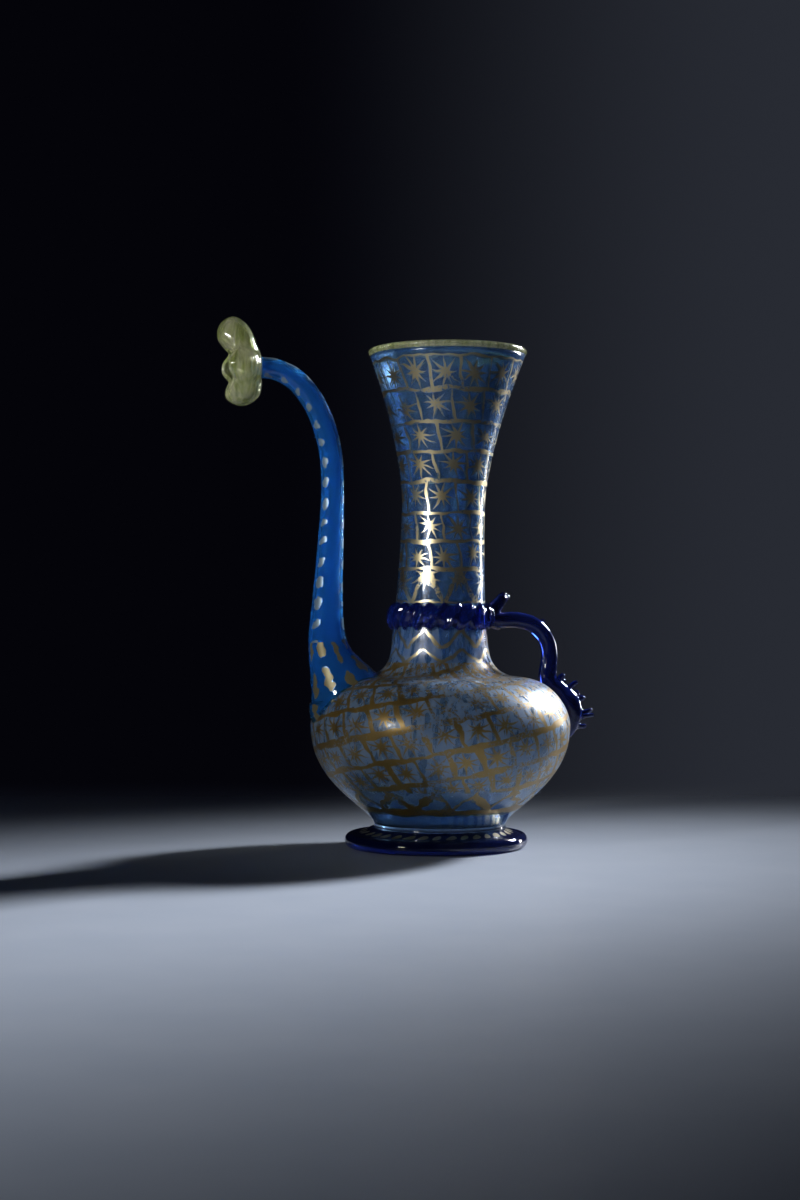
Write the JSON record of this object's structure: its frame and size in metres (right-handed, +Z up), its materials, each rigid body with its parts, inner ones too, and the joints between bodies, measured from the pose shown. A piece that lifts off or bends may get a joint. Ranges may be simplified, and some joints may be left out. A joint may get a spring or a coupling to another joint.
{
  "type": "ewer",
  "caption": "Blown blue glass ewer with a globular body, tall flared neck, S-curved spout with a flower mouth, looped handle, twisted neck collar and splayed foot.",
  "frame": {"origin": "middle of the foot's flat underside, on the surface that the ewer stands on", "axes": "+Z up, -X towards the spout, +X towards the handle"},
  "size_m": [0.1845, 0.1246, 0.251],
  "materials": {
    "blue_glass": "hand-blown, faintly weathered, with painted gilding",
    "cobalt_glass": "fire-polished, with painted gilt leaves",
    "dark_cobalt_glass": "fire-polished, nearly opaque",
    "green_glass": "fire-polished"
  },
  "bodies": {
    "root": {"body": "blue_glass", "foot": "dark_cobalt_glass", "spout": "cobalt_glass", "spout_mouth": "green_glass", "handle": "dark_cobalt_glass", "neck_collar": "dark_cobalt_glass", "lip_thread": "green_glass"}
  },
  "joints": []
}
